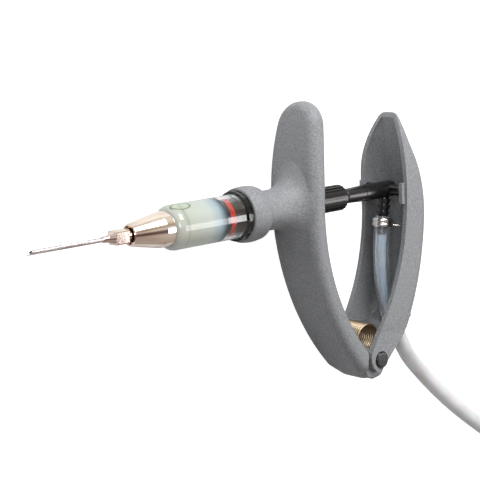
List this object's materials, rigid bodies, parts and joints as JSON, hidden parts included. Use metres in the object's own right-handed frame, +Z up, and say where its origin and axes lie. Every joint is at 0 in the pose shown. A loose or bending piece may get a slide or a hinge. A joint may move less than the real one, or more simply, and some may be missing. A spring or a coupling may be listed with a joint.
{
  "type": "automatic syringe",
  "caption": "Lever-action repeating syringe with a clear barrel, lock-on needle, dose knob and squeeze handles, fed by a flexible tube through the hollow rear handle.",
  "frame": {"origin": "under the middle of the syringe, on the surface it lies on, the free hose left out", "axes": "+X along the barrel from the needle to the rear handle, +Y towards the top of the handles, +Z up as it lies on its side"},
  "size_m": [0.438, 0.2366, 0.0306],
  "materials": {
    "needle_steel": "polished",
    "plated_metal": "polished nickel plate",
    "black_rubber": "satin",
    "red_rubber": "satin",
    "black_plastic": "gloss",
    "spring_steel": "drawn wire",
    "clear_barrel": "clear moulded",
    "clamp_wire": "drawn wire",
    "grey_nylon": "fine grained moulding",
    "gold_spring": "drawn wire",
    "clear_tube": "clear flexible"
  },
  "bodies": {
    "front": {"front_handle": "grey_nylon", "barrel": "clear_barrel", "barrel_flange_seal": "black_rubber", "luer_lock_nozzle": "plated_metal", "outlet_valve_seat": "black_rubber", "needle_hub": "plated_metal", "needle_cannula": "needle_steel", "rod_guide_bush": "black_plastic", "pivot_pin": "black_plastic", "pivot_pin_cap": "black_plastic", "return_spring": "gold_spring", "outlet_valve_spring": "spring_steel"},
    "outlet_valve": {"outlet_valve": "black_plastic"},
    "plunger": {"piston": "black_plastic", "piston_ring": "red_rubber", "inlet_valve_retainer": "black_plastic", "inlet_valve_spring": "spring_steel", "piston_rod": "black_plastic", "elbow_connector": "black_plastic", "hose_clamp": "clamp_wire"},
    "inlet_valve": {"inlet_valve": "black_plastic"},
    "dose_knob": {"dose_knob": "black_plastic"},
    "rear_handle": {"rear_handle": "grey_nylon", "feed_tube_inner": "clear_tube", "feed_hose": "clear_tube", "hose_coil": "clear_tube", "coil_tie": "black_rubber", "draw_off_spike": "black_plastic"}
  },
  "joints": [
    {"name": "handle_squeeze", "type": "hinge", "parent": "front", "child": "rear_handle", "pos_m": [0.07621, -0.0587, 0.01532], "axis": [0, 0, 1], "range_deg": [0, 15.4], "stiffness_Nm_per_rad": 0.8, "springref_deg": -20.05, "deforming": ["return_spring", "feed_tube_inner"]},
    {"name": "plunger_slide", "type": "slide", "parent": "front", "child": "plunger", "axis": [-1, 0, 0], "range_m": [0, 0.022]},
    {"name": "dose_knob_turn", "type": "hinge", "parent": "front", "child": "dose_knob", "pos_m": [0.05161, 0.0212, 0.01532], "axis": [1, 0, 0], "range_deg": [0, 1800]},
    {"name": "outlet_valve_lift", "type": "slide", "parent": "front", "child": "outlet_valve", "axis": [-1, 0, 0], "range_m": [0, 0.0012], "stiffness_N_per_m": 300, "springref_m": -0.001, "deforming": ["outlet_valve_spring"]},
    {"name": "inlet_valve_lift", "type": "slide", "parent": "plunger", "child": "inlet_valve", "axis": [-1, 0, 0], "range_m": [0, 0.001], "stiffness_N_per_m": 200, "springref_m": -0.001, "deforming": ["inlet_valve_spring"]}
  ],
  "couplings": [
    {"joint": "plunger_slide", "follows": "handle_squeeze", "m_per_rad": 0.08153}
  ]
}
